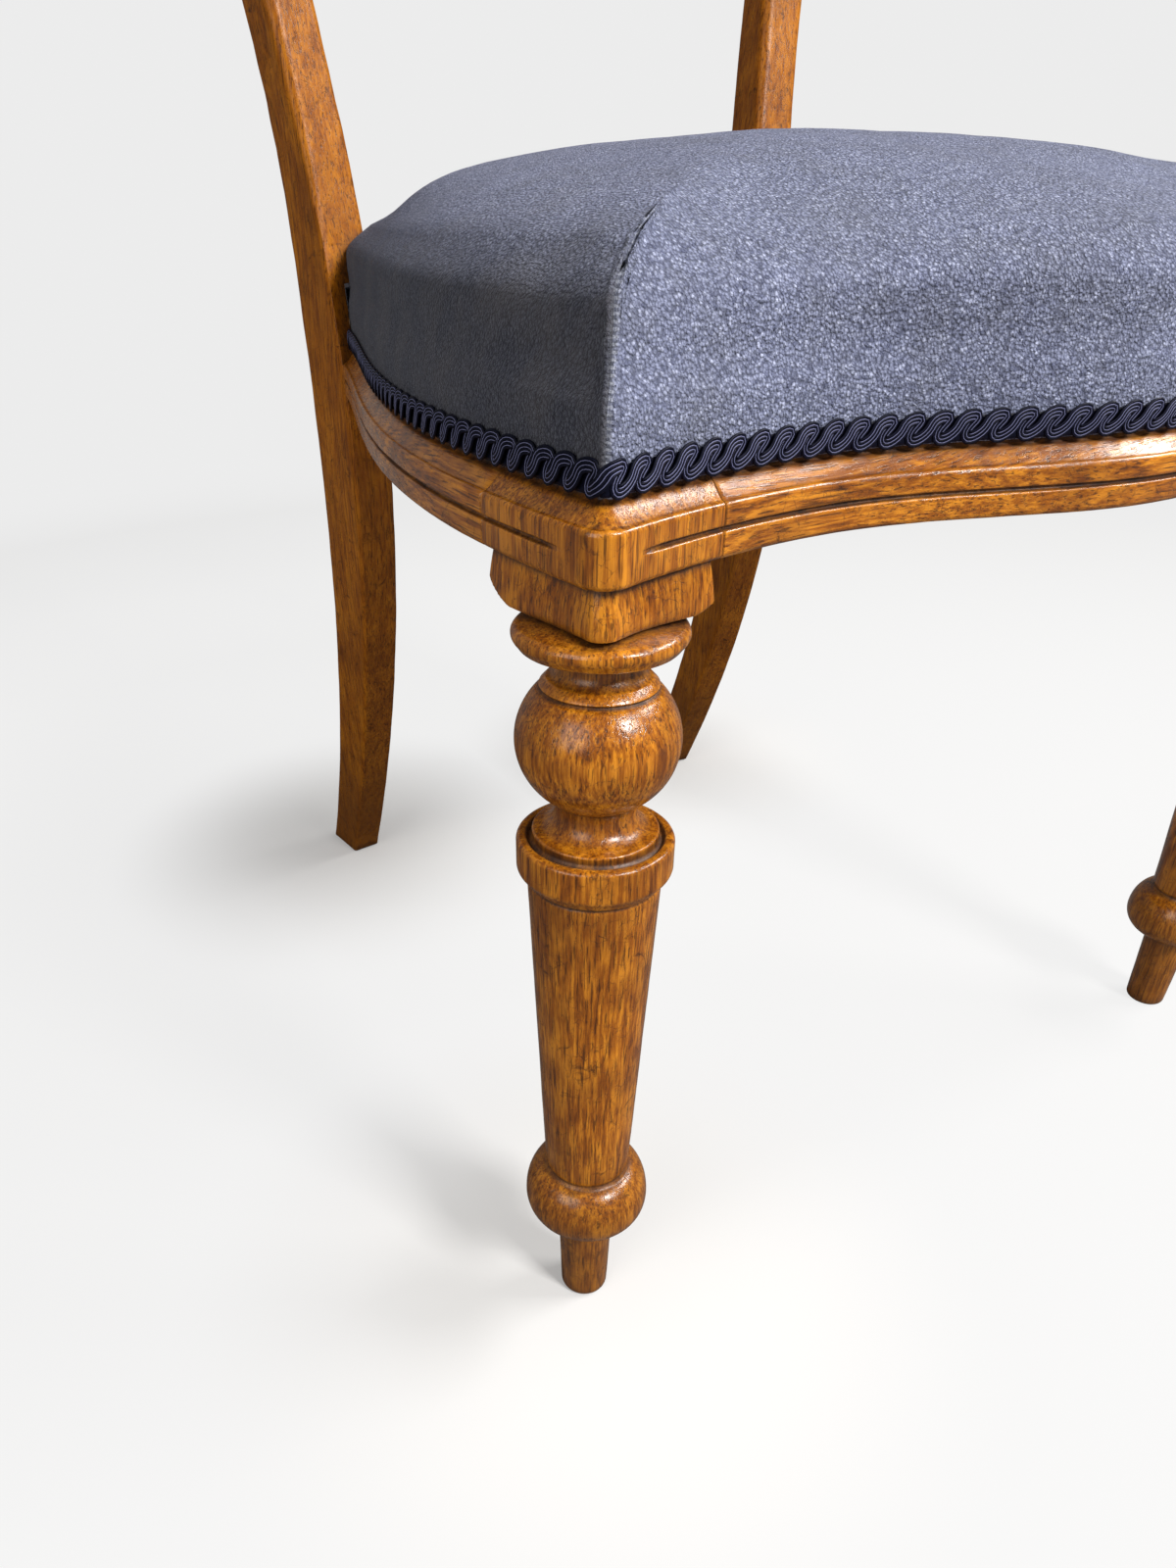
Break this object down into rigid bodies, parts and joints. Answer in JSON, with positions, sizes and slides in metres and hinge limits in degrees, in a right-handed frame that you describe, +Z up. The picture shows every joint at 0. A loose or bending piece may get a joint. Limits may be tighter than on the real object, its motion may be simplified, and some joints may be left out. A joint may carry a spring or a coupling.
{
  "type": "balloon back chair",
  "caption": "Dining chair with a balloon back, turned front legs, sabre rear legs, a serpentine moulded seat frame and a stuffed-over upholstered seat with scroll gimp.",
  "frame": {"origin": "on the floor, under the middle of the chair's box", "axes": "+Z up; the sitter faces -Y; +X to the sitter's left"},
  "size_m": [0.4788, 0.5244, 0.8862],
  "materials": {
    "honey_oak": "polished honey-brown oak with dark pores",
    "dark_oak": "polished darker oak",
    "beech": "bare sawn beech",
    "screw_steel": "dulled steel",
    "jute_webbing": "herringbone jute webbing",
    "hessian": "plain woven hessian",
    "fibre_stuffing": "curled fibre",
    "cotton_wadding": "soft matt wadding",
    "slate_chenille": "blue-grey chenille with pale flecks",
    "navy_gimp": "corded navy scroll gimp"
  },
  "bodies": {
    "root": {"front_leg_left": "honey_oak", "front_leg_right": "honey_oak", "rear_leg_left": "dark_oak", "rear_leg_right": "dark_oak", "front_seat_rail": "honey_oak", "side_seat_rail_left": "honey_oak", "side_seat_rail_right": "honey_oak", "rear_seat_rail": "beech", "crest_rail": "dark_oak", "back_cross_rail": "dark_oak", "seat_rail_dowels": "beech", "crest_rail_dowels": "beech", "cross_rail_dowels": "beech", "corner_brace_front_left": "beech", "corner_brace_front_right": "beech", "corner_brace_rear_left": "beech", "corner_brace_rear_right": "beech", "corner_brace_screws": "screw_steel", "webbing_front_to_back": "jute_webbing", "webbing_side_to_side": "jute_webbing", "hessian_base": "hessian", "seat_stuffing": "fibre_stuffing", "seat_wadding": "cotton_wadding", "seat_cover": "slate_chenille", "gimp_braid": "navy_gimp"}
  },
  "joints": []
}
